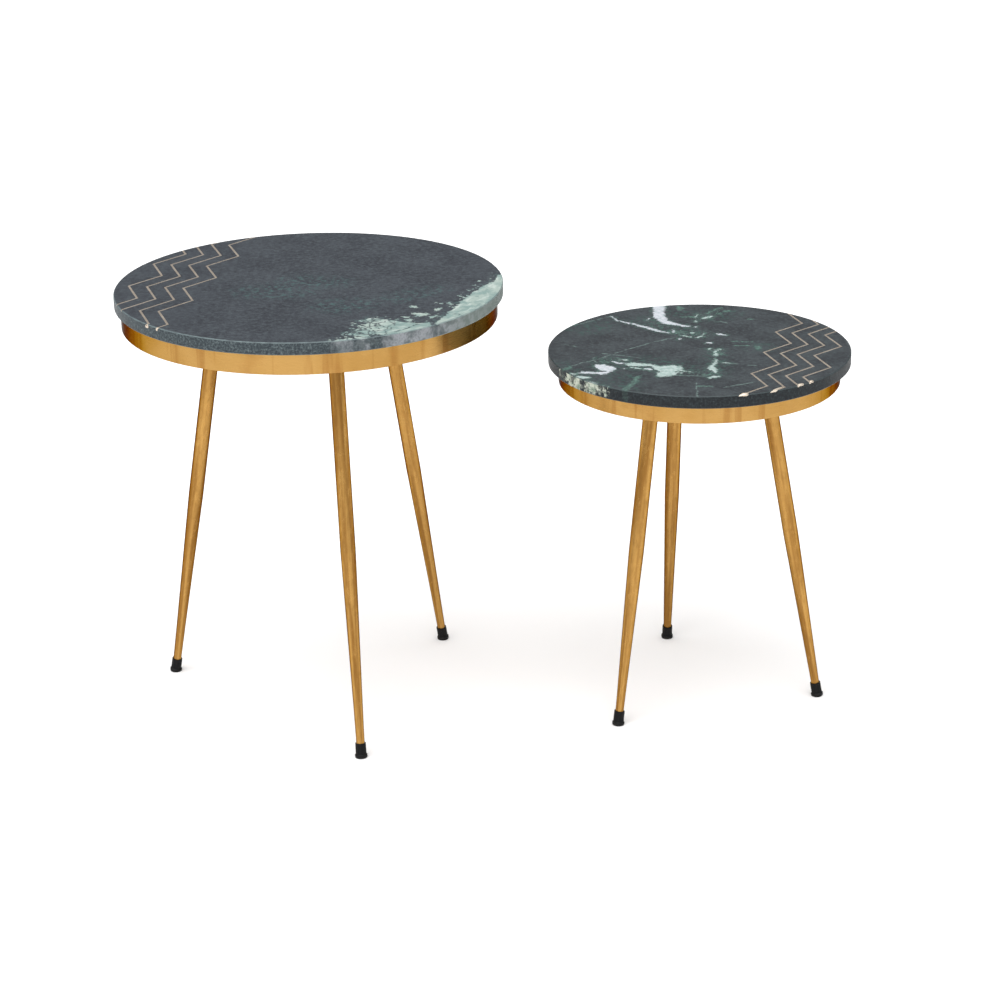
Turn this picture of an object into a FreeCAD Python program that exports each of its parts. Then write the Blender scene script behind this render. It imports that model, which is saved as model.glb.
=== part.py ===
import FreeCAD, Part
import math
import os
from types import SimpleNamespace

# A pair of nesting tables. Each one is a round marble top on a drawn apron ring and three splayed
# legs. The small table slides in between two legs of the large one and stops under its apron.
# Millimetres and degrees. +Z is up, the floor is z = 0, +X runs from the large table to the small
# one, and an azimuth is counted from +X towards +Y. The origin is under the middle of the pair.

V = FreeCAD.Vector
ORIGIN = V(0, 0, 0)
X_AXIS = V(1, 0, 0)
Y_AXIS = V(0, 1, 0)
Z_AXIS = V(0, 0, 1)

# Marble tops and the strips let into them. A zigzag runs along its heading. Its corners nearer to
# the middle of the top lie on the lines first, first + spacing and so on, to the side of the
# middle, and every other corner lies a swing away. A run is the way from one corner to the next,
# along the heading.
MARBLE_THICKNESS = 15
MARBLE_ARRIS = 1         # width of the bevel along the rims
STRIP_WIDTH = 2.5
STRIP_DEPTH = 1.6
STRIPS = 4
RIM_MARGIN = 2.5        # a zigzag corner nearer to the rim than this is left out
RUN_OUT = 1.5           # how far the last run goes on, in lengths of one run

# Apron ring, backing board and spider plate
RING_WALL = 2
RING_EDGE_RADIUS = 0.5
BOARD_THICKNESS = 9
BOARD_GAP = 1
SPIDER_THICKNESS = 4
SPIDER_ARM_WIDTH = 26
SPIDER_HUB_RADIUS = 36

# Countersunk wood screws that hold the spider plate to the board
SCREW_SHANK_RADIUS = 1.75
SCREW_HEAD_RADIUS = 4
SCREW_HEAD_HEIGHT = 2.2
SCREW_LENGTH = 11
SCREW_POINT = 2.5
SCREW_HOLE_RADIUS = 2.1
RECESS_LENGTH = 4.4
RECESS_WIDTH = 0.9
RECESS_DEPTH = 1.2

# Legs: a straight tube, swaged down to a thin tip
LEG_RADIUS = 9
LEG_WALL = 1.5
LEG_WAIST_RADIUS = 5.6
LEG_TIP_RADIUS = 5
LEG_TIP_LENGTH = 22     # the stretch at the tip that has no taper
LEG_WAIST_SHARE = 0.13  # where the main taper ends, as a share of the leg's length
PLUG_LENGTH = 12
STUD_RADIUS = 4
STUD_REACH = 18         # how far a stud goes into its leg

# Rubber feet
FOOT_SLEEVE_RADIUS = 6
FOOT_COLLAR_RADIUS = 6.3
FOOT_COLLAR_HEIGHT = 1.6
FOOT_FLANGE_RADIUS = 7.4
FOOT_FLANGE_HEIGHT = 4.6
FOOT_HEIGHT = 17.5
FOOT_SOLE = 3.5
FOOT_SOLE_ROUND = 2.6
FOOT_SINK = 1           # the sole starts this far below the floor and is cut off level with it
FOOT_RIBS = 12
FOOT_RIB_WIDTH = 0.8
FOOT_RIB_PROUD = 0.35

# A leg stands at one azimuth at the lower edge of the apron and at another one at the floor.
LARGE = SimpleNamespace(
    name="large",
    centre=V(-206, 0, 0),
    height=525,
    top_radius=230,
    ring_radius=223,
    ring_height=25,
    leg_circle=119,         # leg axes at the lower edge of the apron
    foot_circle=205,        # leg axes at the floor
    legs={"right": (47, 47), "left": (165, 164), "front": (288.5, 286)},
    leg_top_rise=5,         # the leg's upper end, above the lower edge of the apron
    taper_start=0.5,        # where the main taper starts, as a share of the leg's length
    screw_circles=(60, 190),
    zigzag=SimpleNamespace(heading=260, first=-185, spacing=22.5, swing=-26, run=47.5, start=-11),
)

SMALL = SimpleNamespace(
    name="small",
    centre=V(256, 0, 0),
    height=440,
    top_radius=180,
    ring_radius=168,
    ring_height=22,
    leg_circle=81,
    foot_circle=151,
    legs={"rear": (107, 102), "left": (225.5, 228.5), "right": (346, 347)},
    leg_top_rise=4,
    taper_start=0.52,
    screw_circles=(52, 145),
    zigzag=SimpleNamespace(heading=256, first=78, spacing=20, swing=25.5, run=41, start=0.5),
)


def save(name, shape):
    """Write one node."""
    if not shape.isValid():
        raise ValueError(name + " is not a valid shape")
    shape.exportStep("parts/" + name + ".step")


def cylinder(radius, low, high):
    """An upright cylinder about the Z axis, between two heights."""
    return Part.makeCylinder(radius, high - low, V(0, 0, low), Z_AXIS)


def cone(low_radius, high_radius, low, high):
    """An upright truncated cone about the Z axis, between two heights."""
    return Part.makeCone(low_radius, high_radius, high - low, V(0, 0, low), Z_AXIS)


def turned(outline):
    """A solid of revolution about the Z axis from (radius, height) corners."""
    points = [V(radius, 0, height) for radius, height in outline]
    wire = Part.makePolygon(points + [points[0]])
    return Part.Face(wire).revolve(ORIGIN, Z_AXIS, 360)


def edges_at(shape, height, radius):
    """The circular edges of a shape at one height and radius."""
    found = []
    for edge in shape.Edges:
        curve = edge.Curve
        if isinstance(curve, Part.Circle):
            if abs(curve.Center.z - height) < 0.01 and abs(curve.Radius - radius) < 0.01:
                found.append(edge)
    return found


def levels(table):
    """The heights at which the pieces of one table meet."""
    marble = table.height - MARBLE_THICKNESS
    board = marble - BOARD_THICKNESS
    return SimpleNamespace(
        top=table.height,
        marble=marble,
        board=board,
        spider=board - SPIDER_THICKNESS,
        ring=marble - table.ring_height,
    )


def place_on_table(shape, table):
    """Move a shape from the table's own axis to where the table stands."""
    placed = shape.copy()
    placed.translate(table.centre)
    return placed


# ---- marble top and brass strips ----

def zigzag_corners(table, line):
    """The corners of one zigzag line that lie inside the rim, with a run-out at each end."""
    pattern = table.zigzag
    inner = pattern.first + line * pattern.spacing
    reach = math.ceil(table.top_radius / pattern.run) + 1
    corners = []
    for step in range(-reach, reach + 1):
        side = inner + (pattern.swing if step % 2 else 0)
        corners.append(V(pattern.start + step * pattern.run, side, 0))
    limit = table.top_radius - RIM_MARGIN
    inside = [i for i, corner in enumerate(corners) if corner.Length < limit]
    first, last = inside[0], inside[-1]
    start = corners[first] + (corners[first - 1] - corners[first]) * RUN_OUT
    end = corners[last] + (corners[last + 1] - corners[last]) * RUN_OUT
    return [start] + corners[first:last + 1] + [end]


def side_points(corners, offset):
    """The line of corners moved sideways by an offset, with mitred corners."""
    moved = []
    for i, corner in enumerate(corners):
        runs = []
        if i > 0:
            runs.append((corner - corners[i - 1]).normalize())
        if i < len(corners) - 1:
            runs.append((corners[i + 1] - corner).normalize())
        normals = [V(-run.y, run.x, 0) for run in runs]
        mitre = (normals[0] + normals[-1]).normalize()
        moved.append(corner + mitre * (offset / mitre.dot(normals[0])))
    return moved


def zigzag_ribbon(table, line):
    """The groove that one strip fills, run out past the rim."""
    corners = zigzag_corners(table, line)
    one_side = side_points(corners, STRIP_WIDTH / 2)
    other_side = side_points(corners, -STRIP_WIDTH / 2)
    outline = one_side + other_side[::-1]
    ribbon = Part.Face(Part.makePolygon(outline + [outline[0]])).extrude(V(0, 0, STRIP_DEPTH))
    ribbon.translate(V(0, 0, table.height - STRIP_DEPTH))
    # the pattern is drawn along +X with its sideways offset along +Y
    ribbon.rotate(ORIGIN, Z_AXIS, table.zigzag.heading)
    return ribbon


def marble_and_strips(table):
    at = levels(table)
    blank = turned([
        (0, at.marble),
        (table.top_radius - MARBLE_ARRIS, at.marble),
        (table.top_radius, at.marble + MARBLE_ARRIS),
        (table.top_radius, at.top - MARBLE_ARRIS),
        (table.top_radius - MARBLE_ARRIS, at.top),
        (0, at.top),
    ])
    ribbons = [zigzag_ribbon(table, line) for line in range(STRIPS)]
    strips = [ribbon.common(blank) for ribbon in ribbons]
    return blank.cut(ribbons), strips


# ---- ring, board, spider plate and screws ----

def apron_ring(table):
    at = levels(table)
    inner = table.ring_radius - RING_WALL
    ring = cylinder(table.ring_radius, at.ring, at.marble).cut(cylinder(inner, at.ring, at.marble))
    lower_edges = edges_at(ring, at.ring, table.ring_radius) + edges_at(ring, at.ring, inner)
    return ring.makeFillet(RING_EDGE_RADIUS, lower_edges)


def on_circle(radius, azimuth, height=0):
    angle = math.radians(azimuth)
    return V(radius * math.cos(angle), radius * math.sin(angle), height)


def arm_azimuths(table):
    """The spider plate has one arm over each leg."""
    return [at_apron for at_apron, at_floor in table.legs.values()]


def screw_places(table):
    """Where the screws stand: two on each arm of the spider plate."""
    places = []
    for azimuth in arm_azimuths(table):
        for circle in table.screw_circles:
            places.append(on_circle(circle, azimuth))
    return places


def repeated(shape, places):
    copies = []
    for place in places:
        copy = shape.copy()
        copy.translate(place)
        copies.append(copy)
    return copies


def backing_board(table):
    at = levels(table)
    board = cylinder(table.ring_radius - RING_WALL - BOARD_GAP, at.board, at.marble)
    screw_end = at.spider + SCREW_LENGTH
    pilot = cylinder(SCREW_SHANK_RADIUS, at.board, screw_end)
    return board.cut(repeated(pilot, screw_places(table)))


def spider_plate(table):
    at = levels(table)
    reach = table.ring_radius - RING_WALL
    plate = cylinder(SPIDER_HUB_RADIUS, at.spider, at.board)
    for azimuth in arm_azimuths(table):
        corner = V(0, -SPIDER_ARM_WIDTH / 2, at.spider)
        arm = Part.makeBox(reach + 1, SPIDER_ARM_WIDTH, SPIDER_THICKNESS, corner, Z_AXIS)
        arm.rotate(ORIGIN, Z_AXIS, azimuth)
        plate = plate.fuse(arm)
    plate = plate.common(cylinder(reach, at.spider, at.board))
    hole = cylinder(SCREW_HOLE_RADIUS, at.spider, at.board)
    sink = cone(SCREW_HEAD_RADIUS, SCREW_SHANK_RADIUS, at.spider, at.spider + SCREW_HEAD_HEIGHT)
    plate = plate.cut(repeated(hole.fuse(sink), screw_places(table)))
    return plate.removeSplitter()


def board_screws(table):
    at = levels(table)
    neck = at.spider + SCREW_HEAD_HEIGHT
    tip = at.spider + SCREW_LENGTH
    screw = turned([
        (0, at.spider),
        (SCREW_HEAD_RADIUS, at.spider),
        (SCREW_SHANK_RADIUS, neck),
        (SCREW_SHANK_RADIUS, tip - SCREW_POINT),
        (0, tip),
    ])
    slot_corner = V(-RECESS_LENGTH / 2, -RECESS_WIDTH / 2, at.spider)
    slot = Part.makeBox(RECESS_LENGTH, RECESS_WIDTH, RECESS_DEPTH, slot_corner, Z_AXIS)
    cross_slot = slot.copy()
    cross_slot.rotate(ORIGIN, Z_AXIS, 90)
    screw = screw.cut([slot, cross_slot])
    return Part.makeCompound(repeated(screw, screw_places(table)))


# ---- legs, in their own frame: local +Z runs up the leg's axis from the floor ----

def leg_axis(table, side):
    """Where a leg's axis meets the floor, and its direction upwards."""
    azimuth_at_apron, azimuth_at_floor = table.legs[side]
    foot = on_circle(table.foot_circle, azimuth_at_floor)
    apron = on_circle(table.leg_circle, azimuth_at_apron, levels(table).ring)
    return foot, (apron - foot).normalize()


def leg_top(table, side):
    """How far up its own axis a leg ends."""
    foot, direction = leg_axis(table, side)
    return (levels(table).ring + table.leg_top_rise) / direction.z


def stand(shape, table, side):
    """Stand a shape made along a leg's axis at its place under the table."""
    foot, direction = leg_axis(table, side)
    placement = FreeCAD.Placement(foot, FreeCAD.Rotation(Z_AXIS, direction))
    placed = shape.copy()
    placed.Placement = placement.multiply(placed.Placement)
    return placed


def leg_tube(table, side):
    top = leg_top(table, side)
    outside = [
        (LEG_TIP_RADIUS, FOOT_SOLE),
        (LEG_TIP_RADIUS, LEG_TIP_LENGTH),
        (LEG_WAIST_RADIUS, LEG_WAIST_SHARE * top),
        (LEG_RADIUS, table.taper_start * top),
        (LEG_RADIUS, top),
    ]
    inside = [(radius - LEG_WALL, height) for radius, height in reversed(outside)]
    return stand(turned(outside + inside), table, side)


def leg_plug(table, side):
    top = leg_top(table, side)
    bore = cylinder(STUD_RADIUS, top - PLUG_LENGTH, top)
    plug = cylinder(LEG_RADIUS - LEG_WALL, top - PLUG_LENGTH, top).cut(bore)
    return stand(plug, table, side)


def below_spider(shape, table):
    """Cut a standing shape off level with the underside of the spider plate."""
    reach = 4 * table.top_radius
    corner = V(-reach / 2, -reach / 2, levels(table).spider)
    return shape.cut(Part.makeBox(reach, reach, reach, corner, Z_AXIS))


def leg_boss(table, side):
    """The stub welded under the spider plate that a leg is screwed up against."""
    top = leg_top(table, side)
    stub = cylinder(LEG_RADIUS, top, top + table.ring_height)
    stub = stub.cut(cylinder(STUD_RADIUS, top, top + table.ring_height))
    return below_spider(stand(stub, table, side), table)


def leg_stud(table, side):
    top = leg_top(table, side)
    stud = cylinder(STUD_RADIUS, top - STUD_REACH, top + table.ring_height)
    return below_spider(stand(stud, table, side), table)


def rubber_foot(table, side):
    sole = -FOOT_SINK
    body = turned([
        (0, sole),
        (FOOT_FLANGE_RADIUS, sole),
        (FOOT_FLANGE_RADIUS, FOOT_FLANGE_HEIGHT - 1),
        (FOOT_FLANGE_RADIUS - 1, FOOT_FLANGE_HEIGHT),
        (FOOT_SLEEVE_RADIUS, FOOT_FLANGE_HEIGHT),
        (FOOT_SLEEVE_RADIUS, FOOT_HEIGHT - FOOT_COLLAR_HEIGHT),
        (FOOT_COLLAR_RADIUS, FOOT_HEIGHT - FOOT_COLLAR_HEIGHT),
        (FOOT_COLLAR_RADIUS, FOOT_HEIGHT),
        (0, FOOT_HEIGHT),
    ])
    body = body.makeFillet(FOOT_SOLE_ROUND, edges_at(body, sole, FOOT_FLANGE_RADIUS))
    rib_reach = FOOT_SLEEVE_RADIUS + FOOT_RIB_PROUD
    rib_height = FOOT_HEIGHT - FOOT_COLLAR_HEIGHT - FOOT_FLANGE_HEIGHT
    rib_corner = V(0, -FOOT_RIB_WIDTH / 2, FOOT_FLANGE_HEIGHT)
    for i in range(FOOT_RIBS):
        rib = Part.makeBox(rib_reach, FOOT_RIB_WIDTH, rib_height, rib_corner, Z_AXIS)
        rib.rotate(ORIGIN, Z_AXIS, i * 360 / FOOT_RIBS)
        body = body.fuse(rib)
    body = body.removeSplitter().cut(cylinder(LEG_TIP_RADIUS, FOOT_SOLE, FOOT_HEIGHT))
    standing = stand(body, table, side)
    reach = 4 * table.top_radius
    return standing.cut(Part.makeBox(reach, reach, reach, V(-reach / 2, -reach / 2, -reach), Z_AXIS))


def make_table(table):
    """Every piece of one table, by name."""
    marble, strips = marble_and_strips(table)
    pieces = {
        "marble_top": marble,
        "backing_board": backing_board(table),
        "apron_ring": apron_ring(table),
        "spider_plate": spider_plate(table),
        "board_screws": board_screws(table),
    }
    for number, strip in enumerate(strips, 1):
        pieces["inlay_strip_%d" % number] = strip
    studs = []
    for side in table.legs:
        pieces["leg_" + side] = leg_tube(table, side)
        pieces["leg_plug_" + side] = leg_plug(table, side)
        pieces["leg_boss_" + side] = leg_boss(table, side)
        pieces["foot_" + side] = rubber_foot(table, side)
        studs.append(leg_stud(table, side))
    pieces["leg_studs"] = Part.makeCompound(studs)
    return pieces


os.makedirs("parts", exist_ok=True)
for table in (LARGE, SMALL):
    for piece, shape in make_table(table).items():
        save(table.name + "_" + piece, place_on_table(shape, table))
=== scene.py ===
import math

import bmesh
import bpy
from mathutils import Matrix, Vector


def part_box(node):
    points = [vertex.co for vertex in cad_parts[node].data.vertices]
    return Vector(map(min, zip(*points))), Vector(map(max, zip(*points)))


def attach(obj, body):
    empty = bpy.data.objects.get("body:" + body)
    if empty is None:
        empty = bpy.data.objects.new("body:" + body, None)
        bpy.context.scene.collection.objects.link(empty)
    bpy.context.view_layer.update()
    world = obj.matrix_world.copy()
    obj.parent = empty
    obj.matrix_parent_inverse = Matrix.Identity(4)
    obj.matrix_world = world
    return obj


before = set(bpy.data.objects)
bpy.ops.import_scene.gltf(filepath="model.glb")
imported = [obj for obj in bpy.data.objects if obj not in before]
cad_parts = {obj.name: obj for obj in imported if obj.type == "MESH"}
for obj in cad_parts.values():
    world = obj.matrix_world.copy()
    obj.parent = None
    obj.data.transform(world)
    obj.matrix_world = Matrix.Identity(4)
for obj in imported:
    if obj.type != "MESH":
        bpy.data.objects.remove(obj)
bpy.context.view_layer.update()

# A pair of nesting tables: round marble tops with zigzag brass strips, brass apron rings and
# three splayed brass legs each. The CAD frame gives every piece of the set but six: this script
# adds the beads where strips run out at the rim. It also makes the materials, the floor, the light
# and the camera. Lengths in the marbles are millimetres from the middle of each table's top, x and
# y as in the frame; in the other materials they start at the place that each one is given. Colours
# are written as display values, 0 to 255.

MM = 1000.0             # millimetres in a metre
DEPTH_SHARE = 0.2       # how fast a vein changes down through the slab, against 1 along it
RIM_STREAKS = 60.0      # mm of streak pattern for each radian round the rim
RING_ARC = 200.0        # mm of brass pattern for each radian round a ring
LEG_SKIN_RADIUS = 8.0   # mm, the tube on which a leg's patina is laid out


# ------------------------------------------------------------------ nodes
def rgb(red, green, blue):
    """A display colour, 0 to 255, as the linear colour that a shader takes."""
    linear = []
    for value in (red, green, blue):
        share = value / 255
        if share <= 0.04045:
            linear.append(share / 12.92)
        else:
            linear.append(((share + 0.055) / 1.055) ** 2.4)
    return (*linear, 1.0)


class Net:
    """Adds nodes to a tree. Each method returns the output to pass on."""

    def __init__(self, tree):
        self.tree = tree

    def add(self, kind, **settings):
        node = self.tree.nodes.new("ShaderNode" + kind)
        for key, value in settings.items():
            setattr(node, key, value)
        return node

    def put(self, socket, value):
        if isinstance(value, bpy.types.NodeSocket):
            self.tree.links.new(value, socket)
        elif value is not None:
            socket.default_value = value

    def math(self, operation, first, second=None, third=None):
        node = self.add("Math", operation=operation)
        for socket, value in zip(node.inputs, (first, second, third)):
            self.put(socket, value)
        return node.outputs[0]

    def vector(self, operation, first, second=None, scale=None):
        node = self.add("VectorMath", operation=operation)
        self.put(node.inputs[0], first)
        self.put(node.inputs[1], second)
        if scale is not None:
            self.put(node.inputs["Scale"], scale)
        number = operation in ("LENGTH", "DISTANCE", "DOT_PRODUCT")
        return node.outputs["Value" if number else "Vector"]

    def parts(self, vector):
        node = self.add("SeparateXYZ")
        self.put(node.inputs[0], vector)
        return node.outputs[0], node.outputs[1], node.outputs[2]

    def join(self, x, y, z):
        node = self.add("CombineXYZ")
        for socket, value in zip(node.inputs, (x, y, z)):
            self.put(socket, value)
        return node.outputs[0]

    def noise(self, place, size, detail=2.0, rough=0.5, output="Factor"):
        """Cloudy noise whose patches are about size across, from 0 to 1."""
        node = self.add("TexNoise")
        self.put(node.inputs["Vector"], place)
        node.inputs["Scale"].default_value = 1 / size
        node.inputs["Detail"].default_value = detail
        node.inputs["Roughness"].default_value = rough
        return node.outputs[0 if output == "Factor" else 1]

    def cells(self, place, size, feature="F1", output="Distance"):
        node = self.add("TexVoronoi", feature=feature)
        self.put(node.inputs["Vector"], place)
        node.inputs["Scale"].default_value = 1 / size
        return node.outputs[output]

    def step(self, value, low, high, out_low=0.0, out_high=1.0):
        """Rises smoothly from out_low to out_high as value goes from low to high."""
        node = self.add("MapRange", interpolation_type="SMOOTHSTEP")
        for name, number in (
            ("Value", value), ("From Min", low), ("From Max", high),
            ("To Min", out_low), ("To Max", out_high),
        ):
            self.put(node.inputs[name], number)
        return node.outputs[0]

    def mix(self, share, first, second):
        node = self.add("Mix", data_type="RGBA", clamp_factor=True)
        self.put(node.inputs[0], share)
        self.put(node.inputs[6], first)
        self.put(node.inputs[7], second)
        return node.outputs[2]

    def warp(self, place, size, reach, detail=2.0):
        """The place moved about by noise, by up to about reach."""
        cloud = self.noise(place, size, detail, output="Color")
        shift = self.vector("SUBTRACT", cloud, (0.5,) * 3)
        return self.vector("ADD", place, self.vector("SCALE", shift, scale=reach * 3))

    def product(self, *values):
        total = values[0]
        for value in values[1:]:
            total = self.math("MULTIPLY", total, value)
        return total

    def most(self, *values):
        total = values[0]
        for value in values[1:]:
            total = self.math("MAXIMUM", total, value)
        return total


def start(name):
    """The net of a new material."""
    made = bpy.data.materials.new(name)
    made.use_nodes = True
    made.node_tree.nodes.clear()
    return Net(made.node_tree), made


def shade(net, made, colour, rough, relief=None, settings=None, tangent=None):
    """Adds the shader and the output, after what feeds them, and returns the material."""
    shader = net.add("BsdfPrincipled")
    net.put(shader.inputs["Base Color"], colour)
    net.put(shader.inputs["Roughness"], rough)
    if relief is not None:
        net.put(shader.inputs["Normal"], relief)
    if tangent is not None:
        net.put(shader.inputs["Tangent"], tangent)
    for name, value in (settings or {}).items():
        shader.inputs[name].default_value = value
    output = net.add("OutputMaterial")
    net.tree.links.new(shader.outputs[0], output.inputs[0])
    return made


def down_the_side(net, place):
    """The place as the veins see it: they run on almost straight down through the slab."""
    return net.vector("MULTIPLY", place, (1.0, 1.0, DEPTH_SHARE))


def object_place(net, centre):
    """Millimetres from centre, and the surface's own normal."""
    node = net.add("TexCoord")
    shifted = net.vector("SUBTRACT", node.outputs["Object"], tuple(centre))
    return net.vector("SCALE", shifted, scale=MM), node.outputs["Normal"]


def bump(net, height, depth, below=None):
    """Bumps of depth millimetres for heights from 0 to 1."""
    node = net.add("Bump")
    node.inputs["Strength"].default_value = 1.0
    node.inputs["Distance"].default_value = depth / MM
    net.put(node.inputs["Height"], height)
    if below is not None:
        net.put(node.inputs["Normal"], below)
    return node.outputs[0]


# ------------------------------------------------------------------ veins
def make_vein_run():
    """How deep a place lies inside one straight run of a vein, in mm; below 0 it is outside."""
    tree = bpy.data.node_groups.new("vein_run", "ShaderNodeTree")
    for name, kind in (
        ("Place", "Vector"), ("Start", "Vector"), ("Run", "Vector"), ("Along", "Vector"),
        ("Half", "Float"), ("Widening", "Float"),
    ):
        tree.interface.new_socket(name, in_out="INPUT", socket_type="NodeSocket" + kind)
    tree.interface.new_socket("Depth", in_out="OUTPUT", socket_type="NodeSocketFloat")
    net = Net(tree)
    given = tree.nodes.new("NodeGroupInput").outputs
    offset = net.vector("SUBTRACT", given["Place"], given["Start"])
    reached = net.vector("DOT_PRODUCT", offset, given["Along"])
    clamp = net.add("Clamp")
    net.put(clamp.inputs["Value"], reached)
    share = clamp.outputs[0]
    away = net.vector(
        "DISTANCE", offset, net.vector("SCALE", given["Run"], scale=share))
    half = net.math("MULTIPLY_ADD", share, given["Widening"], given["Half"])
    depth = net.math("SUBTRACT", half, away)
    tree.links.new(depth, tree.nodes.new("NodeGroupOutput").inputs["Depth"])
    return tree


VEIN_RUN = make_vein_run()
DOT_RUN = 0.5   # a vein of one point is a run this long


def vein_depth(net, place, veins):
    """The depth inside the nearest of some veins. A vein is points (x, y, width) in mm."""
    depth = None
    for vein in veins:
        if len(vein) == 1:
            x, y, width = vein[0]
            vein = [(x, y, width), (x + DOT_RUN, y, width)]
        for (x0, y0, width0), (x1, y1, width1) in zip(vein, vein[1:]):
            run = Vector((x1 - x0, y1 - y0, 0))
            node = net.add("Group", node_tree=VEIN_RUN)
            net.put(node.inputs["Place"], place)
            node.inputs["Start"].default_value = (x0, y0, 0)
            node.inputs["Run"].default_value = run
            node.inputs["Along"].default_value = run / run.length_squared
            node.inputs["Half"].default_value = width0 / 2
            node.inputs["Widening"].default_value = (width1 - width0) / 2
            here = node.outputs[0]
            depth = here if depth is None else net.math("MAXIMUM", depth, here)
    return depth


# The pale stone of the large top lies along the right of the front rim: a crescent, and nearer to
# the front a blob broken up by dark cracks. Small islands lie off its inner edge.
LARGE_CRESCENT = [
    [(226, 26, 8), (229, 8, 14), (225, -24, 38), (218, -54, 50), (209, -88, 55), (197, -117, 47),
     (184, -140, 36), (172, -152, 26), (163, -162, 14)],
]
LARGE_BLOB = [
    [(76, -152, 10), (86, -148, 16), (98, -156, 20), (112, -164, 22), (128, -172, 22),
     (146, -172, 24)],
    [(88, -172, 28), (108, -186, 40), (134, -188, 40)],
    [(76, -170, 12), (78, -188, 18), (76, -210, 16)],
    [(62, -200, 5)],
    [(62, -218, 7), (50, -226, 5)],
]
LARGE_ISLANDS = [
    [(201, 4, 4)],
    [(196, -14, 4)],
    [(189, -34, 5)],
    [(180, -56, 5)],
    [(169, -82, 6), (172, -92, 5)],
    [(160, -87, 5)],
    [(155, -84, 3)],
    [(161, -106, 7), (156, -114, 6)],
    [(128, -97, 8), (132, -102, 4)],
    [(133, -124, 9), (141, -128, 13), (135, -134, 9)],
    [(150, -141, 8), (156, -134, 5)],
    [(122, -139, 8)],
    [(127, -150, 9)],
    [(112, -146, 5)],
    [(64, -180, 4)],
    [(66, -191, 5)],
    [(58, -210, 4)],
]
LARGE_CRACKS = [
    [(148, -140, 3), (152, -160, 4), (156, -172, 6), (153, -184, 6), (150, -196, 4)],
    [(84, -150, 2), (90, -172, 2.5), (96, -184, 1.5)],
    [(138, -164, 2), (126, -180, 3), (112, -194, 2)],
    [(104, -150, 1.5), (112, -168, 2), (106, -186, 1.5)],
    [(70, -164, 2), (84, -178, 2), (92, -196, 2)],
    [(72, -192, 2), (90, -206, 2)],
    [(176, -128, 1.5), (188, -134, 1.5)],
]
LARGE_GREEN = [
    [(-60, -30, 40), (-20, -24, 60)],
    [(-10, 10, 50), (30, 4, 30)],
    [(40, -92, 50), (70, -84, 30)],
    [(110, -60, 30), (150, -30, 20)],
]

# The small top is dark stone with broken veins: white, then pale mint, then dim green where they
# thin out.
SMALL_WHITE = [
    [(-42, 180, 14), (-43, 148, 15), (-43, 127, 16), (-39, 112, 12), (-34, 103, 12), (-27, 98, 10),
     (-19, 92, 7), (-11, 87, 7), (-7, 88, 3)],
    [(0, 84, 4)],
    [(-102, 132, 2), (-96, 114, 3), (-85, 106, 5), (-73, 97, 5), (-68, 91, 6), (-59, 84, 7),
     (-51, 74, 7), (-44, 67, 6), (-38, 63, 4), (-30, 60, 2)],
    [(-59, 114, 1.5), (-56, 121, 2.5)],
    [(-28, 61, 3), (-28, 73, 3)],
    [(-22, 34, 4), (-22, 39, 4)],
    [(27, 54, 6), (33, 51, 4)],
    [(11, 20, 5), (14, 19, 4)],
    [(-122, -62, 8), (-117, -68, 17), (-112, -74, 22), (-107, -76, 14), (-103, -73, 5)],
    [(-121, -91, 7), (-117, -93, 9), (-111, -88, 8), (-108, -81, 8)],
    [(-122, -91, 7), (-132, -89, 7), (-138, -88, 8), (-145, -90, 3)],
    [(-106, -49, 3), (-102, -50, 5), (-96, -55, 6), (-90, -56, 3)],
    [(-91, -75, 3)],
    [(-68, -77, 4), (-59, -80, 5)],
]
SMALL_PALE = [
    [(-88, -57, 4), (-82, -59, 13), (-74, -61, 13), (-67, -62, 10), (-59, -66, 11),
     (-52, -72, 12)],
    [(-82, -72, 5), (-74, -76, 4), (-59, -81, 5)],
    [(-50, -76, 14), (-42, -78, 24), (-35, -76, 23), (-29, -80, 12), (-24, -85, 5), (-19, -86, 2)],
    [(-50, -104, 9), (-44, -96, 19), (-38, -90, 21), (-33, -86, 14)],
    [(-20, -88, 1.6), (-27, -96, 1.6), (-33, -100, 1.8)],
    [(-19, -87, 2), (-13, -90, 2.4)],
    [(24, -7, 3.4), (20, -10, 4), (18, -21, 5), (20, -29, 5)],
    [(16, -44, 3), (17, -57, 4.5), (11, -70, 7), (11, -81, 10), (14, -90, 6), (15, -95, 3)],
    [(7, -113, 6), (12, -110, 9), (16, -109, 7)],
    [(12, -4, 4)],
    [(-6, 60, 5)],
    [(-19, 51, 2), (-14, 48, 4), (-9, 44, 2)],
    [(5, 46, 4), (-1, 41, 3)],
    [(9, 58, 2), (6, 50, 1.6)],
    [(11, 118, 4), (15, 123, 7), (20, 128, 4)],
    [(4, 136, 2), (2, 125, 3)],
    [(0, 106, 5)],
    [(25, -58, 2.8), (32, -60, 3.6)],
    [(-88, -44, 3.6), (-97, -40, 1.6)],
    [(-150, -103, 7), (-144, -105, 10), (-135, -108, 8)],
    [(-160, -98, 3), (-154, -91, 4), (-149, -95, 4)],
    [(-146, -116, 4), (-139, -121, 9), (-131, -127, 11), (-126, -133, 8)],
    [(-126, -134, 6), (-120, -139, 8), (-114, -143, 5)],
]
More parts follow.
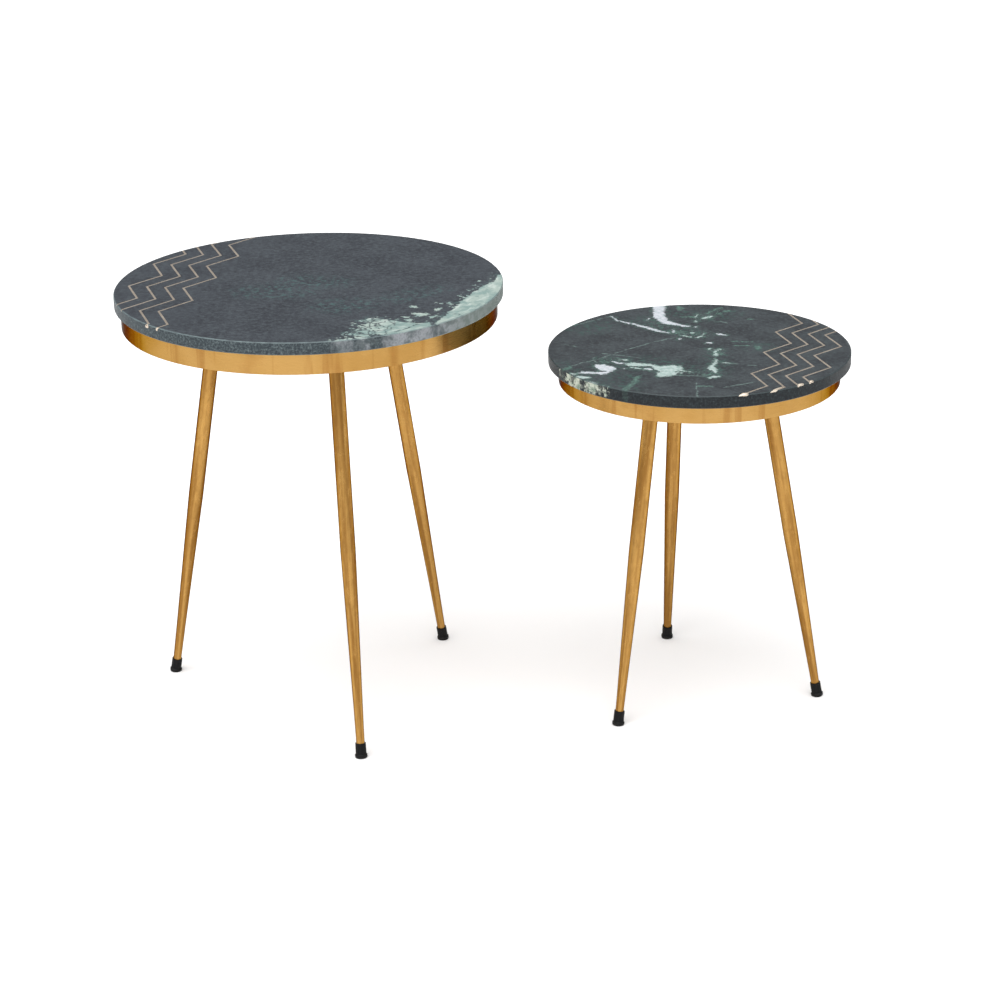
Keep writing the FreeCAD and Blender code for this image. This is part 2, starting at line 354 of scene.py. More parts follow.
SMALL_DIM = [
    [(35, 164, 5), (30, 159, 5), (23, 148, 3.5), (16, 139, 3)],
    [(-18, 170, 4), (-16, 162, 9), (-17, 156, 3)],
    [(41, 148, 8)],
    [(32, 138, 5)],
    [(-15, 127, 4), (-6, 127, 4), (2, 123, 3)],
    [(66, 113, 3), (71, 113, 3)],
    [(-22, 62, 4), (-17, 60, 4)],
    [(-30, 66, 5), (-14, 66, 4)],
    [(25, -23, 6)],
    [(-118, -48, 2.6), (-109, -51, 3.6)],
    [(-164, -78, 6), (-158, -72, 8), (-153, -67, 3)],
    [(-74, -102, 4), (-78, -114, 7), (-82, -130, 6), (-89, -148, 8), (-95, -162, 6),
     (-98, -176, 3)],
    [(70, -4, 8), (70, 3, 8)],
    [(41, 24, 3.5), (64, 23, 3.5)],
    [(44, 9, 3.5), (59, 7, 3)],
    [(-1, -100, 3), (3, -102, 4), (8, -100, 3)],
    [(-9, -143, 4), (7, -144, 4)],
]
SMALL_FAINT = [
    [(-160, 20, 1.6), (-142, 8, 1.4)],
    [(-154, -65, 1.8), (-149, -61, 1.6), (-143, -54, 1.4), (-128, -44, 1.4), (-100, -15, 1.6),
     (-50, 28, 1.4), (-24, 46, 1.4)],
    [(20, 109, 1.8), (29, 106, 1.8), (39, 99, 1.8)],
    [(21, -148, 1.8), (40, -140, 2.4), (57, -131, 2)],
    [(-9, -131, 1.3), (-11, -182, 1.6)],
    [(-120, -38, 1.6), (-110, -32, 2.2), (-98, -34, 2), (-89, -44, 2)],
    [(-124, -31, 1.5), (-126, -44, 1.5), (-123, -53, 1.5)],
    [(-150, 96, 1.3), (-104, 132, 1.7)],
    [(-130, -10, 1.2), (-70, -36, 1.2)],
    [(32, -60, 1.4), (64, -70, 1.2)],
    [(20, -25, 1.5), (16, -44, 1.6)],
    [(-52, -100, 1.4), (-20, -104, 1.6), (6, -106, 1.4)],
]
SMALL_GREEN = [
    [(-60, 110, 40), (-30, 80, 40), (0, 55, 36)],
    [(-20, 140, 30), (20, 130, 50), (45, 140, 30)],
    [(-110, -50, 50), (-60, -60, 60), (-20, -80, 40)],
    [(-90, -110, 40), (-90, -150, 30)],
    [(20, -10, 26), (12, -100, 34)],
    [(72, 0, 34)],
    [(-165, -60, 30), (-150, -100, 40), (-120, -140, 30)],
    [(-130, 90, 60)],
]
# Crushed stone between the veins
SMALL_DEBRIS = [
    [(-50, 100, 12), (-36, 78, 18), (-14, 64, 24), (6, 52, 20)],
    [(10, 126, 26), (34, 150, 16)],
    [(20, -14, 16)],
    [(-10, -94, 14), (10, -98, 12)],
    [(-112, -46, 16), (-96, -46, 12)],
]
SMALL_HOLES = [
    [(-67, -69, 4), (-61, -70, 4)],
    [(-80, -67, 3), (-76, -67, 3)],
    [(-114, -85, 3.4)],
    [(-31, -90, 3.4)],
]
# Pale stone that shows only on the rim's side
SMALL_SIDE = [
    [(-166, -70, 3), (-161, -80, 5), (-156, -90, 10), (-148, -102, 11), (-141, -111, 8)],
    [(-135, -119, 7), (-128, -127, 6), (-122, -132, 5)],
]
SMALL_SIDE_DARK = [
    [(-137, -116, 4)],
    [(-153, -94, 1.6)],
]


def arris_masks(net, normal):
    """How far a surface belongs to the rim's side, and how far to the bevel above it."""
    upright = net.math("ABSOLUTE", net.parts(normal)[2])
    side = net.step(upright, 0.15, 0.6, 1.0, 0.0)
    bevel = net.product(net.step(upright, 0.3, 0.6), net.step(upright, 0.8, 0.97, 1.0, 0.0))
    return side, bevel


def finish_stone(net, made, place, normal, colour, side_colour, pale, arris_highlight_colour):
    """Rim sides, a painted highlight along the arris, polish and grain, shared by both tops."""
    side, bevel = arris_masks(net, normal)
    grain = net.noise(place, 1.1, 3.0, 0.6)
    colour = net.mix(side, colour, side_colour)
    # A paler colour painted on the bevel and broken up by noise: a painted highlight along the
    # arris
    arris_highlight = net.product(bevel, net.noise(place, 9.0, 2.0), 1.3)
    colour = net.mix(arris_highlight, colour, arris_highlight_colour)
    polish = net.noise(place, 38.0, 3.0, 0.6)
    rough = net.step(polish, 0.3, 0.7, 0.34, 0.42)
    rough = net.math("MULTIPLY_ADD", side, 0.16, rough)
    rough = net.math("MULTIPLY_ADD", pale, 0.05, rough)
    height = net.math("MULTIPLY_ADD", side, net.math("MULTIPLY", grain, 2.0), grain)
    relief = bump(net, height, 0.02)
    return shade(net, made, colour, rough, relief, {"Specular IOR Level": 0.24})


def large_marble(centre):
    net, made = start("large_marble_stone")
    place, normal = object_place(net, centre)
    bent = net.warp(net.warp(down_the_side(net, place), 14.0, 3.0), 4.0, 1.3)

    cloud = net.noise(place, 60.0, 4.0, 0.6)
    fine = net.noise(place, 6.0, 5.0, 0.75)
    grain = net.noise(place, 1.8, 3.0, 0.7)
    colour = net.mix(net.step(cloud, 0.36, 0.64), rgb(38, 42, 50), rgb(52, 57, 64))
    colour = net.mix(net.step(fine, 0.47, 0.62, 0.0, 0.6), colour, rgb(70, 78, 83))
    colour = net.mix(net.step(fine, 0.46, 0.34, 0.0, 0.75), colour, rgb(24, 27, 33))
    colour = net.mix(net.step(grain, 0.54, 0.7, 0.0, 0.5), colour, rgb(86, 97, 100))
    green = net.step(vein_depth(net, bent, LARGE_GREEN), -22.0, 10.0)
    flecks = net.step(net.noise(place, 8.0, 4.0, 0.75), 0.48, 0.64)
    colour = net.mix(net.product(green, flecks, 0.7), colour, rgb(66, 96, 95))

    crescent = vein_depth(net, bent, LARGE_CRESCENT)
    blob = vein_depth(net, bent, LARGE_BLOB)
    islands = vein_depth(net, bent, LARGE_ISLANDS)
    cracks = vein_depth(net, net.warp(bent, 5.0, 1.2), LARGE_CRACKS)
    body = net.most(crescent, blob)
    ragged = net.math("MULTIPLY_ADD", net.noise(place, 9.0, 3.0, 0.6), 9.0, body)
    pale = net.step(ragged, 3.6, 5.2)
    crumbled = net.math("SUBTRACT", net.noise(net.warp(place, 5.0, 2.0), 5.0, 4.0, 0.7), 0.5)
    lumpy = net.math("MULTIPLY_ADD", crumbled, 20.0, islands)
    pale = net.most(pale, net.step(lumpy, -0.4, 1.6))
    # Islands of every size off the edge, thinning out further away
    cell_place = net.warp(place, 6.0, 1.6)
    gap = net.math("SUBTRACT", 0.42, net.cells(cell_place, 6.0))
    island = net.step(net.math("MULTIPLY_ADD", body, 0.016, gap), 0.0, 0.08)
    near = net.step(body, -20.0, -2.0)
    some = net.step(net.noise(place, 12.0, 2.0), 0.44, 0.54)
    pale = net.most(pale, net.product(island, near, some))
    # Cracks between the broken pieces, closest together in the blob
    edge = net.cells(net.warp(place, 9.0, 3.5), 17.0, "DISTANCE_TO_EDGE")
    breccia = net.step(edge, 0.02, 0.075, 1.0, 0.0)
    broken = net.step(net.parts(place)[0], 128.0, 88.0, 0.1, 1.0)
    breccia = net.product(breccia, net.step(blob, -6.0, 2.0), broken, 0.85)
    crack = net.most(net.step(cracks, -0.7, 0.6), breccia)
    pale = net.product(pale, net.math("SUBTRACT", 1.0, crack))

    tone = net.noise(place, 26.0, 3.0, 0.6)
    x, y, z = net.parts(net.warp(place, 20.0, 4.0))
    out = net.vector("LENGTH", net.join(x, y, 0.0))
    round_rim = net.math("MULTIPLY", net.math("ARCTAN2", y, x), RIM_STREAKS)
    streak = net.noise(net.join(out, round_rim, z), 7.0, 4.0, 0.6)
    pale_colour = net.mix(net.step(tone, 0.4, 0.62), rgb(122, 144, 140), rgb(152, 167, 160))
    pale_colour = net.mix(net.step(streak, 0.5, 0.68, 0.0, 0.6), pale_colour, rgb(186, 196, 190))
    pale_colour = net.mix(net.step(streak, 0.44, 0.3, 0.0, 0.7), pale_colour, rgb(92, 118, 118))
    halo = net.step(body, -14.0, 0.0, 0.0, 0.5)
    colour = net.mix(net.product(halo, flecks), colour, rgb(84, 112, 110))
    colour = net.mix(pale, colour, pale_colour)

    speckle = net.noise(place, 2.4, 4.0, 0.75)
    blotch = net.noise(place, 12.0, 3.0, 0.6)
    side_colour = net.mix(net.step(speckle, 0.42, 0.62), rgb(44, 52, 57), rgb(74, 84, 87))
    side_colour = net.mix(net.step(speckle, 0.58, 0.7, 0.0, 0.7), side_colour, rgb(112, 122, 122))
    side_pale = net.mix(net.step(blotch, 0.4, 0.6), rgb(92, 99, 101), rgb(136, 140, 144))
    side_pale = net.mix(net.step(speckle, 0.5, 0.36, 0.0, 0.5), side_pale, rgb(76, 84, 88))
    rightward = net.step(net.parts(place)[0], 150.0, 215.0, 0.0, 0.7)
    side_pale = net.mix(rightward, side_pale, rgb(124, 136, 130))
    side_share = net.math("MULTIPLY_ADD", net.noise(place, 10.0, 4.0, 0.6), 22.0, ragged)
    side_colour = net.mix(net.step(side_share, 8.0, 24.0), side_colour, side_pale)
    side_colour = net.mix(net.product(crack, 0.5), side_colour, rgb(70, 78, 80))
    return finish_stone(
        net, made, place, normal, colour, side_colour, pale, rgb(104, 118, 120))


def small_marble(centre):
    net, made = start("small_marble_stone")
    place, normal = object_place(net, centre)
    level = down_the_side(net, place)
    bent = net.warp(net.warp(level, 13.0, 2.0), 3.5, 0.9)

    cloud = net.noise(place, 45.0, 4.0, 0.6)
    fine = net.noise(place, 5.0, 5.0, 0.75)
    colour = net.mix(net.step(cloud, 0.36, 0.64), rgb(38, 42, 47), rgb(54, 60, 64))
    colour = net.mix(net.step(fine, 0.48, 0.64, 0.0, 0.6), colour, rgb(70, 80, 82))
    colour = net.mix(net.step(fine, 0.46, 0.34, 0.0, 0.7), colour, rgb(24, 27, 31))
    green = net.step(vein_depth(net, bent, SMALL_GREEN), -14.0, 12.0)
    flecks = net.step(net.noise(place, 8.0, 5.0, 0.75), 0.46, 0.64)
    colour = net.mix(net.product(green, flecks, 0.8), colour, rgb(48, 78, 72))

    white = vein_depth(net, bent, SMALL_WHITE)
    mint = vein_depth(net, bent, SMALL_PALE)
    dim = vein_depth(net, bent, SMALL_DIM)
    faint = vein_depth(net, bent, SMALL_FAINT)
    debris = vein_depth(net, bent, SMALL_DEBRIS)
    holes = vein_depth(net, bent, SMALL_HOLES)
    breakup = net.math("SUBTRACT", net.noise(place, 4.5, 4.0, 0.7), 0.5)
    white = net.math("MULTIPLY_ADD", breakup, 11.0, white)
    mint = net.math("MULTIPLY_ADD", breakup, 15.0, mint)
    dim = net.math("MULTIPLY_ADD", breakup, 12.0, dim)
    wisps = net.step(net.noise(net.warp(place, 8.0, 3.0), 4.0, 4.0, 0.7), 0.46, 0.62)
    halo = net.step(net.most(white, mint), -7.0, 0.5, 0.0, 0.8)
    colour = net.mix(net.product(halo, wisps), colour, rgb(70, 102, 92))
    crumbs = net.step(net.noise(net.warp(place, 5.0, 2.0), 2.6, 3.0, 0.6), 0.56, 0.66)
    crumbs = net.product(crumbs, net.step(debris, -8.0, 4.0))
    colour = net.mix(net.product(crumbs, 0.7), colour, rgb(108, 140, 128))
    threads = net.step(faint, -1.0, 0.5)
    broken = net.step(net.noise(place, 10.0, 3.0), 0.36, 0.54)
    colour = net.mix(net.product(threads, broken, 0.8), colour, rgb(104, 124, 120))
    dim_mask = net.step(dim, -1.5, 1.5)
    patchy = net.step(wisps, 0.0, 1.0, 0.35, 0.85)
    colour = net.mix(net.product(dim_mask, patchy), colour, rgb(86, 118, 108))
    solid = net.step(holes, -1.0, 0.5, 1.0, 0.0)
    mint_mask = net.product(net.step(mint, -1.2, 2.4), solid)
    stain = net.step(net.noise(place, 5.0, 4.0, 0.65), 0.42, 0.64, 0.0, 0.8)
    mint_colour = net.mix(stain, rgb(168, 183, 180), rgb(124, 150, 144))
    colour = net.mix(mint_mask, colour, mint_colour)
    white_mask = net.product(net.step(white, -1.0, 2.2), solid)
    white_colour = net.mix(stain, rgb(190, 193, 200), rgb(150, 166, 168))
    colour = net.mix(white_mask, colour, white_colour)

    speckle = net.noise(place, 2.4, 4.0, 0.75)
    side_colour = net.mix(net.step(speckle, 0.4, 0.64), rgb(18, 22, 26), rgb(38, 46, 49))
    side_colour = net.mix(net.step(speckle, 0.62, 0.74, 0.0, 0.6), side_colour, rgb(84, 96, 98))
    side_colour = net.mix(net.product(dim_mask, patchy, 0.4), side_colour, rgb(70, 94, 88))
    cream = vein_depth(net, bent, SMALL_SIDE)
    blots = net.math("SUBTRACT", net.noise(place, 7.0, 4.0, 0.65), 0.5)
    cream = net.step(net.math("MULTIPLY_ADD", blots, 44.0, cream), 0.6, 5.0)
    pockets = net.step(net.noise(net.warp(place, 12.0, 4.0), 11.0, 2.0, 0.5), 0.5, 0.6, 1.0, 0.25)
    cream = net.product(cream, pockets)
    cream = net.product(
        cream, net.step(vein_depth(net, bent, SMALL_SIDE_DARK), -1.0, 0.6, 1.0, 0.0))
    cream = net.most(cream, mint_mask, white_mask)
    cream_colour = net.mix(stain, rgb(178, 184, 170), rgb(88, 112, 96))
    side_colour = net.mix(cream, side_colour, cream_colour)
    return finish_stone(
        net, made, place, normal, colour, side_colour, white_mask, rgb(52, 62, 64))


# ------------------------------------------------------------------ metals
def ring_brass(centre):
    """Brass brushed round the ring, with a little tarnish and painted dark reflections in bands
    that run up it.
    """
    net, made = start("apron_ring_brass")
    place = object_place(net, centre)[0]
    x, y, z = net.parts(place)
    turn = net.math("ARCTAN2", y, x)
    arc = net.math("MULTIPLY", turn, RING_ARC)
    brushed = net.join(net.math("MULTIPLY", arc, 0.012), 0.0, z)
    lines = net.noise(brushed, 0.3, 4.0, 0.7)
    broad = net.noise(place, 60.0, 3.0, 0.5)
    tarnish = net.noise(place, 40.0, 4.0, 0.6)
    # Noise stretched up the ring, mixed in as darker brown below: painted reflections of dark
    # things, in bands that run up the ring
    upright = net.noise(net.join(arc, 0.0, net.math("MULTIPLY", z, 0.06)), 17.0, 3.0, 0.6)
    colour = net.mix(net.step(broad, 0.35, 0.65), rgb(178, 136, 74), rgb(188, 147, 86))
    colour = net.mix(net.step(upright, 0.54, 0.66, 0.0, 0.45), colour, rgb(146, 96, 44))
    colour = net.mix(net.step(lines, 0.4, 0.7, 0.0, 0.22), colour, rgb(168, 128, 66))
    colour = net.mix(net.step(tarnish, 0.52, 0.72, 0.0, 0.3), colour, rgb(160, 112, 58))
    rough = net.step(lines, 0.3, 0.7, 0.24, 0.36)
    relief = bump(net, lines, 0.012)
    tangent = net.add("Tangent", direction_type="RADIAL", axis="Z")
    settings = {
        "Metallic": 1.0,
        "Anisotropic": 0.6,
        "Anisotropic Rotation": 0.25,
        "Specular Tint": rgb(84, 78, 78),
    }
    return shade(net, made, colour, rough, relief, settings, tangent.outputs[0])


def leg_brass(table, side):
    """Satin brass with patina that runs along one leg."""
    foot = middle(f"{table}_foot_{side}")
    axis = (middle(f"{table}_leg_boss_{side}") - foot).normalized()
    net, made = start(f"{table}_leg_{side}_brass")
    place = object_place(net, foot)[0]
    height = net.vector("DOT_PRODUCT", place, tuple(axis))
    on_axis = net.vector("SCALE", tuple(axis), scale=height)
    skin = net.vector("NORMALIZE", net.vector("SUBTRACT", place, on_axis))
    # Places on a tube of constant radius, with the way up the leg shortened to draw out the patina
    skin = net.vector(
        "ADD", net.vector("SCALE", skin, scale=LEG_SKIN_RADIUS), tuple(foot * MM))
    streaked = net.vector("ADD", skin, net.vector("SCALE", on_axis, scale=0.03))
    spotted = net.vector("ADD", skin, net.vector("SCALE", on_axis, scale=0.3))
    drawn = net.vector("ADD", skin, net.vector("SCALE", on_axis, scale=0.004))
    bands = net.noise(streaked, 6.0, 2.0, 0.5)
    mottle = net.noise(spotted, 4.0, 5.0, 0.7)
    lines = net.noise(drawn, 0.6, 3.0, 0.6)
    cloud = net.noise(place, 70.0, 2.0, 0.5)
    colour = net.mix(net.step(bands, 0.36, 0.6), rgb(148, 106, 52), rgb(186, 142, 78))
    colour = net.mix(net.step(cloud, 0.45, 0.65, 0.0, 0.25), colour, rgb(140, 98, 46))
    colour = net.mix(net.step(mottle, 0.5, 0.68, 0.0, 0.3), colour, rgb(120, 82, 38))
    colour = net.mix(net.step(mottle, 0.46, 0.34, 0.0, 0.25), colour, rgb(204, 162, 94))
    colour = net.mix(net.step(lines, 0.5, 0.75, 0.0, 0.3), colour, rgb(126, 90, 46))
    rough = net.step(mottle, 0.3, 0.7, 0.26, 0.34)
    relief = bump(net, lines, 0.012, bump(net, mottle, 0.025))
    settings = {"Metallic": 1.0, "Specular Tint": rgb(56, 40, 30)}
    return shade(net, made, colour, rough, relief, settings)


def frame_brass(centre):
    """Duller brass on the parts under the board, with mill grain and dark stains."""
    net, made = start("frame_plate_brass")
    place = object_place(net, centre)[0]
    grain = net.noise(net.vector("MULTIPLY", place, (0.08, 1.0, 1.0)), 0.8, 3.0, 0.6)
    stain = net.noise(place, 22.0, 4.0, 0.65)
    colour = net.mix(net.step(stain, 0.4, 0.7), rgb(176, 132, 70), rgb(128, 90, 48))
    colour = net.mix(net.step(grain, 0.45, 0.7, 0.0, 0.4), colour, rgb(202, 160, 96))
    rough = net.step(stain, 0.35, 0.7, 0.34, 0.55)
    relief = bump(net, grain, 0.02)
    return shade(net, made, colour, rough, relief, {"Metallic": 1.0})


def strip_brass(centre):
    """Pale brass ground flush with the stone, scratched by the grinding."""
    net, made = start("inlay_strip_brass")
    place = object_place(net, centre)[0]
    scratch = net.noise(net.vector("MULTIPLY", place, (1.0, 0.15, 1.0)), 0.7, 3.0, 0.6)
    patch = net.noise(place, 14.0, 3.0, 0.6)
    colour = net.mix(net.step(patch, 0.38, 0.64), rgb(206, 192, 176), rgb(222, 210, 194))
    colour = net.mix(net.step(scratch, 0.5, 0.72, 0.0, 0.4), colour, rgb(192, 174, 152))
    rough = net.step(scratch, 0.3, 0.7, 0.32, 0.46)
    relief = bump(net, scratch, 0.01)
    return shade(net, made, colour, rough, relief, {"Metallic": 1.0})


def zinc(centre):
    net, made = start("zinc_plated_steel")
    place = object_place(net, centre)[0]
    spangle = net.cells(place, 1.4, output="Color")
    patch = net.noise(place, 3.0, 3.0, 0.6)
    colour = net.mix(net.step(patch, 0.4, 0.65), rgb(176, 178, 178), rgb(204, 205, 200))
    colour = net.mix(net.math("MULTIPLY", net.parts(spangle)[0], 0.25), colour, rgb(150, 150, 140))
    rough = net.step(patch, 0.3, 0.7, 0.28, 0.42)
    relief = bump(net, patch, 0.02)
    return shade(net, made, colour, rough, relief, {"Metallic": 1.0})


# ------------------------------------------------------------------ other materials
def rubber(centre):
    net, made = start("black_foot_rubber")
    place = object_place(net, centre)[0]
    grain = net.noise(place, 0.5, 3.0, 0.6)
    dust = net.noise(place, 4.0, 4.0, 0.65)
    low = net.step(net.parts(place)[2], 1.0, 7.0, 1.0, 0.0)
    colour = net.mix(net.step(dust, 0.4, 0.7), rgb(6, 6, 7), rgb(12, 12, 13))
    colour = net.mix(net.product(low, dust, 0.3), colour, rgb(44, 42, 40))
    rough = net.step(dust, 0.3, 0.7, 0.42, 0.6)
    relief = bump(net, grain, 0.03)
    return shade(net, made, colour, rough, relief, {"Specular IOR Level": 0.2})


def fibreboard(centre):
    net, made = start("backing_fibreboard")
    place = object_place(net, centre)[0]
    fibres = net.noise(net.vector("MULTIPLY", net.warp(place, 9.0, 3.0), (1.0, 0.35, 1.0)),
                       1.6, 4.0, 0.7)
    cloud = net.noise(place, 50.0, 3.0, 0.6)
    colour = net.mix(net.step(cloud, 0.35, 0.65), rgb(134, 104, 74), rgb(156, 124, 90))
    colour = net.mix(net.step(fibres, 0.48, 0.7, 0.0, 0.6), colour, rgb(104, 78, 54))
    colour = net.mix(net.step(fibres, 0.4, 0.28, 0.0, 0.5), colour, rgb(184, 154, 116))
    rough = net.step(fibres, 0.3, 0.7, 0.72, 0.88)
    relief = bump(net, fibres, 0.08)
    return shade(net, made, colour, rough, relief, {"Specular IOR Level": 0.3})


def floor_paint():
    net, made = start("pale_floor")
    place = object_place(net, (0, 0, 0))[0]
    cloud = net.noise(place, 400.0, 3.0, 0.5)
    colour = net.mix(net.step(cloud, 0.3, 0.7), rgb(243, 243, 243), rgb(246, 246, 246))
    rough = net.step(cloud, 0.3, 0.7, 0.7, 0.8)
    return shade(net, made, colour, rough, None, {"Specular IOR Level": 0.1})


# ------------------------------------------------------------------ the tables
def middle(node):
    low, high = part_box(node)
    return (low + high) / 2


def top_centre(table):
    """The middle of a table's top, at its top face."""
    low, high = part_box(table + "_marble_top")
    return Vector(((low.x + high.x) / 2, (low.y + high.y) / 2, high.z))


LEGS = {"large": ("right", "left", "front"), "small": ("rear", "left", "right")}
CENTRES = {table: top_centre(table) for table in LEGS}
ON_FLOOR = {table: Vector((centre.x, centre.y, 0)) for table, centre in CENTRES.items()}


def paint(nodes, made):
    for node in nodes:
        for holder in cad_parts[node].material_slots:
            holder.material = made


def dress_tables():
    marbles = {"large": large_marble, "small": small_marble}
    for table, names in LEGS.items():
        paint([f"{table}_marble_top"], marbles[table](CENTRES[table]))
        for name in names:
            paint([f"{table}_leg_{name}"], leg_brass(table, name))
        ring = ring_brass(ON_FLOOR[table])
        ring.name = f"{table}_apron_brass"
        paint([f"{table}_apron_ring"], ring)
    origin = Vector((0, 0, 0))
    shared = {
        "inlay_brass": strip_brass(origin),
        "frame_brass": frame_brass(origin),
        "zinc_steel": zinc(origin),
        "fibreboard": fibreboard(origin),
        "foot_rubber": rubber(origin),
    }
    for table, names in LEGS.items():
        paint([f"{table}_inlay_strip_{count}" for count in range(1, 5)], shared["inlay_brass"])
        paint([f"{table}_backing_board"], shared["fibreboard"])
        paint([f"{table}_spider_plate"], shared["frame_brass"])
        paint([f"{table}_leg_boss_{name}" for name in names], shared["frame_brass"])
        paint([f"{table}_board_screws", f"{table}_leg_studs"], shared["zinc_steel"])
        paint([f"{table}_leg_plug_{name}" for name in names], shared["zinc_steel"])
        paint([f"{table}_foot_{name}" for name in names], shared["foot_rubber"])
    return shared


# ------------------------------------------------------------------ run-out beads
# Lengths here are in metres, as in the frame
MARBLE_ARRIS = 0.001    # the bevel along the marble's upper edge
BEVEL_OUTWARD = (0.71, 0.71)
BEAD_SINK = 0.0006      # how far a bead's back lies inside the stone
BEAD_ROUNDING = 2.6     # power of the bead's outline: 2 is an ellipse, more is blunter
BEAD_AROUND = 24        # squares along a bead
BEAD_ACROSS = 12        # squares from its upper to its lower end
WELD_REACH = 0.00002    # points this close become one, at the two tips of a bead


def rim_profile(radius, height, way):
    """A point on the rim and its outward direction, as (radius, height) pairs. way is the
    distance down from the top of the bevel, below 0 on the top face."""
    slope = MARBLE_ARRIS * math.sqrt(2)
    if way < 0:
        return (radius - MARBLE_ARRIS + way, height), (0.0, 1.0)
    if way < slope:
        share = way / slope
        place = (radius - MARBLE_ARRIS * (1 - share), height - MARBLE_ARRIS * share)
        return place, BEVEL_OUTWARD
    return (radius, height - MARBLE_ARRIS - (way - slope)), (1.0, 0.0)


def grid_border(grid):
    """The points round the edge of a grid, in order."""
    loop = [line[0] for line in grid]
    loop += grid[-1][1:]
    loop += [line[-1] for line in grid[-2::-1]]
    loop += grid[0][-2:0:-1]
    return loop


def rim_bead(name, table, x, y, length, upper, lower, proud, turn):
    """Filler and brass smeared over the rim where a strip runs out: a crowned patch whose middle
    is nearest to (x, y) from the table's middle. It is length long round the rim, and reaches from
    upper to lower down the rim's profile. turn slants it, in profile distance per unit of
    length."""
    centre = CENTRES[table]
    low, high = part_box(table + "_marble_top")
    radius = (high.x - low.x) / 2
    middle_turn = math.atan2(y, x)
    mesh = bmesh.new()

    def bead_point(across, down, lifted):
        """A point of the bead's front, or of its back, for across and down from -1 to 1."""
        reach = math.sqrt(max(0.0, 1 - abs(across) ** BEAD_ROUNDING))
        way = (upper + lower) / 2 + down * reach * (lower - upper) / 2
        way += turn * across * length / 2
        point, out = rim_profile(radius, centre.z, way)
        crown = (1 - across ** 2) * (1 - down ** 2)
        lift = proud * math.sqrt(max(crown, 0)) if lifted else -BEAD_SINK
        spread = point[0] + out[0] * lift
        rise = point[1] + out[1] * lift
        angle = middle_turn + across * length / 2 / radius
        return mesh.verts.new((
            centre.x + spread * math.cos(angle), centre.y + spread * math.sin(angle), rise))

    front, back = (
        [[bead_point(-1 + 2 * i / BEAD_AROUND, -1 + 2 * j / BEAD_ACROSS, lifted)
          for j in range(BEAD_ACROSS + 1)] for i in range(BEAD_AROUND + 1)]
        for lifted in (True, False))
    for grid in (front, back):
        for first, second in zip(grid, grid[1:]):
            for j in range(BEAD_ACROSS):
                corners = [first[j], second[j], second[j + 1], first[j + 1]]
                if grid is back:
                    corners.reverse()
                mesh.faces.new(corners)
    outer, inner = grid_border(front), grid_border(back)
    for i in range(len(outer)):
        j = (i + 1) % len(outer)
        mesh.faces.new([outer[j], outer[i], inner[i], inner[j]])
    bmesh.ops.remove_doubles(mesh, verts=mesh.verts, dist=WELD_REACH)
    bmesh.ops.recalc_face_normals(mesh, faces=mesh.faces)
    data = bpy.data.meshes.new(name)
    mesh.to_mesh(data)
    mesh.free()
    for polygon in data.polygons:
        polygon.use_smooth = True
    piece = bpy.data.objects.new(name, data)
    bpy.context.scene.collection.objects.link(piece)
    return piece


# Name, table, x and y, length round the rim, upper and lower end down the profile, and how far it
# stands proud, all in mm; then the slant. On the large table, whose top face is the highest place
# of the set, the beads start below the upper edge of the bevel.
BEADS = (
    ("small_strip_end_a", "small", 43.8, -174.6, 9.0, -4.6, 2.6, 1.3, 0.0),
    ("small_strip_end_b", "small", 83.4, -155.2, 19.0, -5.6, -2.2, 0.8, -0.27),
    ("small_strip_end_c", "small", 110.2, -142.1, 8.5, -3.6, 1.8, 1.1, 0.0),
    ("small_strip_end_d", "small", 123.0, -130.5, 5.8, -3.4, 1.8, 1.1, 0.0),
    ("large_strip_end_a", "large", -171.0, -154, 6.2, 0.5, 5.2, 0.9, 0.0),
    ("large_strip_end_b", "large", -157.5, -167, 3.0, 0.5, 4.6, 0.6, 0.0),
)


def add_beads(brass):
    for name, table, *lengths, turn in BEADS:
        piece = rim_bead(name, table, *(length / MM for length in lengths), turn)
        piece.data.materials.append(brass)
        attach(piece, table + "_table")


# ------------------------------------------------------------------ floor, light and camera
FLOOR_REACH = 40.0          # metres from the middle to each edge
FLOOR_SQUARES = 8
# The camera that was fitted to the photo: metres, radians, and millimetres for the lens
CAMERA_PLACE = Vector((0.10038, -3.1168, 1.4364))
CAMERA_YAW = -0.0273
CAMERA_PITCH = 0.3639       # downwards
CAMERA_ROLL = -0.0197
CAMERA_LENS = 98.65


def add_floor():
    mesh = bmesh.new()
    bmesh.ops.create_grid(
        mesh, x_segments=FLOOR_SQUARES, y_segments=FLOOR_SQUARES, size=FLOOR_REACH)
    data = bpy.data.meshes.new("floor")
    mesh.to_mesh(data)
    mesh.free()
    data.materials.append(floor_paint())
    floor = bpy.data.objects.new("floor", data)
    bpy.context.scene.collection.objects.link(floor)


def add_sun(name, azimuth, elevation, spread, strength):
    """Even light from far off. azimuth is counted from +X towards +Y, in degrees."""
    light = bpy.data.lights.new(name, "SUN")
    light.energy = strength
    light.angle = math.radians(spread)
    sun = bpy.data.objects.new(name, light)
    bpy.context.scene.collection.objects.link(sun)
    turn, rise = math.radians(azimuth), math.radians(elevation)
    towards = Vector((
        math.cos(turn) * math.cos(rise), math.sin(turn) * math.cos(rise), math.sin(rise)))
    sun.rotation_mode = "QUATERNION"
    sun.rotation_quaternion = towards.to_track_quat("Z", "Y")


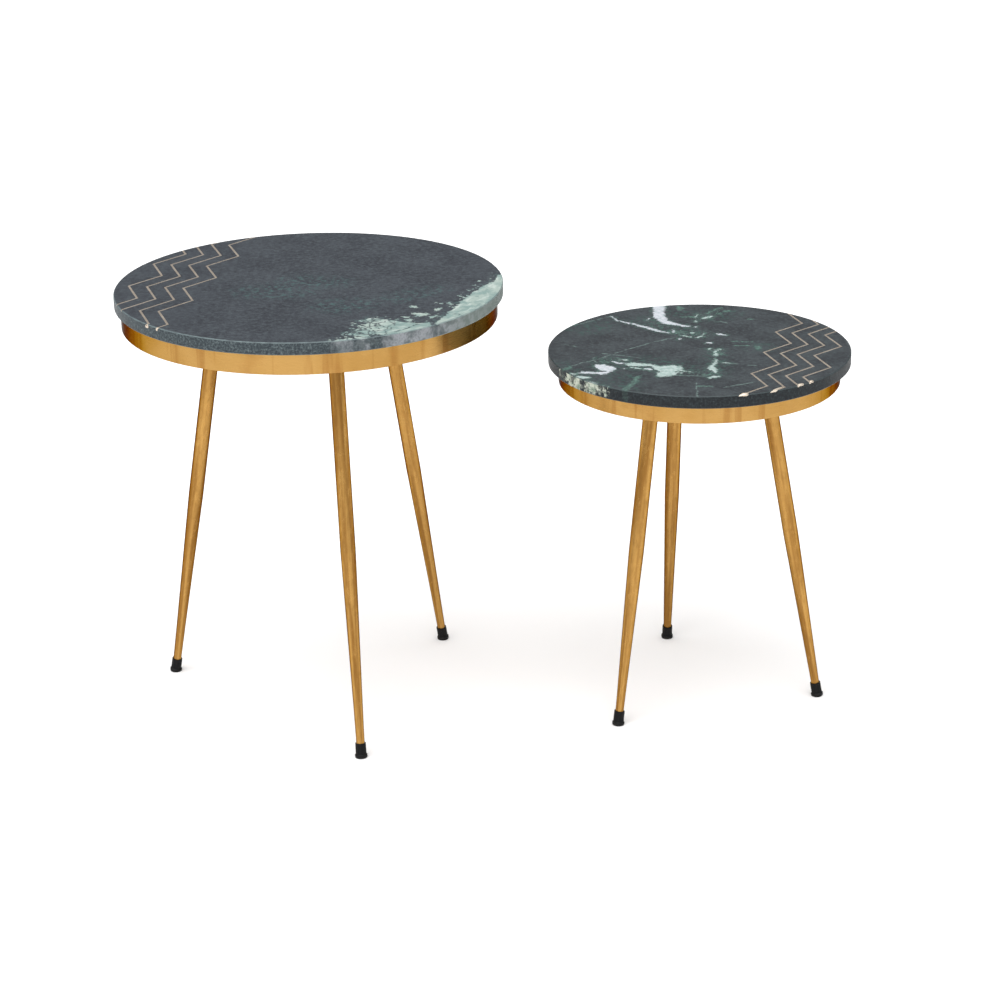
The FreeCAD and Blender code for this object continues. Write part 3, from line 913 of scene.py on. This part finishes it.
def add_surroundings():
    """A pale room: brightest overhead and in front, darker low down at the sides and behind."""
    world = bpy.data.worlds.new("studio")
    bpy.context.scene.world = world
    world.use_nodes = True
    tree = world.node_tree
    tree.nodes.clear()
    net = Net(tree)
    way = net.add("TexCoord").outputs["Generated"]
    x, y, z = net.parts(way)
    height = net.step(z, 0.0, 0.8)
    front = net.step(y, 0.4, -0.8)
    aside = net.step(net.math("ABSOLUTE", x), 0.3, 0.95)
    behind = net.step(y, 0.1, 0.85)
    low = net.step(z, 0.75, 0.2)
    light = net.math("MULTIPLY_ADD", height, 0.9, 0.3)
    light = net.math("MULTIPLY_ADD", front, 0.45, light)
    dimmed = net.product(net.most(net.product(aside, 0.8), net.product(behind, 0.7)), low)
    light = net.product(light, net.math("SUBTRACT", 1.0, dimmed))
    colour = net.join(light, light, light)
    background = net.add("Background")
    net.put(background.inputs["Color"], colour)
    background.inputs["Strength"].default_value = 1.0
    output = net.add("OutputWorld")
    tree.links.new(background.outputs[0], output.inputs[0])


def add_camera():
    cos_yaw, sin_yaw = math.cos(CAMERA_YAW), math.sin(CAMERA_YAW)
    forward = Vector((
        sin_yaw * math.cos(CAMERA_PITCH), cos_yaw * math.cos(CAMERA_PITCH),
        -math.sin(CAMERA_PITCH)))
    level = Vector((cos_yaw, -sin_yaw, 0))
    rise = level.cross(forward)
    right = level * math.cos(CAMERA_ROLL) + rise * math.sin(CAMERA_ROLL)
    up = rise * math.cos(CAMERA_ROLL) - level * math.sin(CAMERA_ROLL)
    turned = Matrix((right, up, -forward)).transposed().to_4x4()
    data = bpy.data.cameras.new("camera")
    data.lens = CAMERA_LENS
    camera = bpy.data.objects.new("camera", data)
    bpy.context.scene.collection.objects.link(camera)
    camera.matrix_world = Matrix.Translation(CAMERA_PLACE) @ turned
    bpy.context.scene.camera = camera


shared = dress_tables()
add_beads(shared["inlay_brass"])
add_floor()
add_surroundings()
add_sun("key_light", azimuth=240, elevation=60, spread=70, strength=1.9)
add_camera()
bpy.context.scene.view_settings.view_transform = "Standard"
